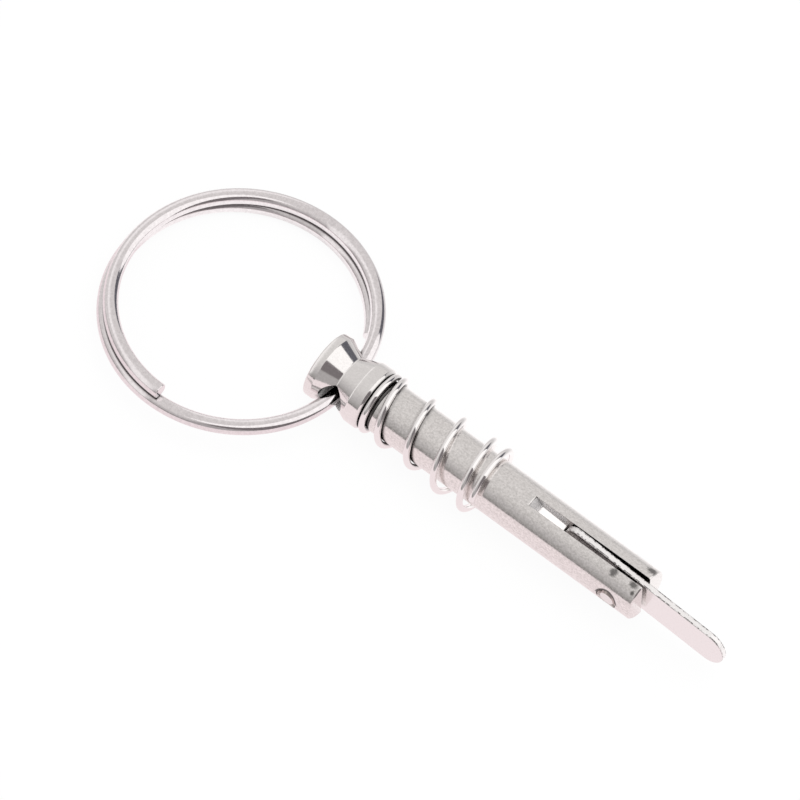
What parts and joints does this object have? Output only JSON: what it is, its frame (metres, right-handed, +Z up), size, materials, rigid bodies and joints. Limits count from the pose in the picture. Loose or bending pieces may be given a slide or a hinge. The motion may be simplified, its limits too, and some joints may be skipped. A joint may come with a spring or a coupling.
{
  "type": "quick release pin",
  "caption": "Drop-nose quick release pin with a coiled spring on its shank and a split pull ring, lying on its side.",
  "frame": {"origin": "on the shank's axis at the front face of the collar, where the shank begins", "axes": "+X along the shank from the head to the tip, +Z up with the slot upright, +Y across the slot along the nose's pivot"},
  "size_m": [0.0841, 0.032, 0.009],
  "materials": {
    "turned_steel": "fine turned satin",
    "pivot_steel": "ground satin",
    "blade_steel": "tumbled satin",
    "spring_wire": "bright drawn wire",
    "ring_wire": "bright rolled wire"
  },
  "bodies": {
    "pin": {"pin_body": "turned_steel", "pivot_pin": "pivot_steel"},
    "nose": {"drop_nose": "blade_steel"},
    "ring": {"split_ring": "ring_wire"},
    "spring": {"spring": "spring_wire"}
  },
  "joints": [
    {"name": "nose_swing", "type": "hinge", "parent": "pin", "child": "nose", "pos_m": [0.03495, 0, 0], "axis": [0, 1, 0], "range_deg": [-150, 134]},
    {"name": "ring_swing", "type": "hinge", "parent": "pin", "child": "ring", "pos_m": [-0.00395, 0, 0], "axis": [0, 1, 0], "range_deg": [-155, 155]},
    {"name": "spring_squeeze", "type": "slide", "parent": "pin", "child": "spring", "axis": [1, 0, 0], "range_m": [-0.0105, 0], "stiffness_N_per_m": 1900, "deforming": ["spring"]}
  ]
}
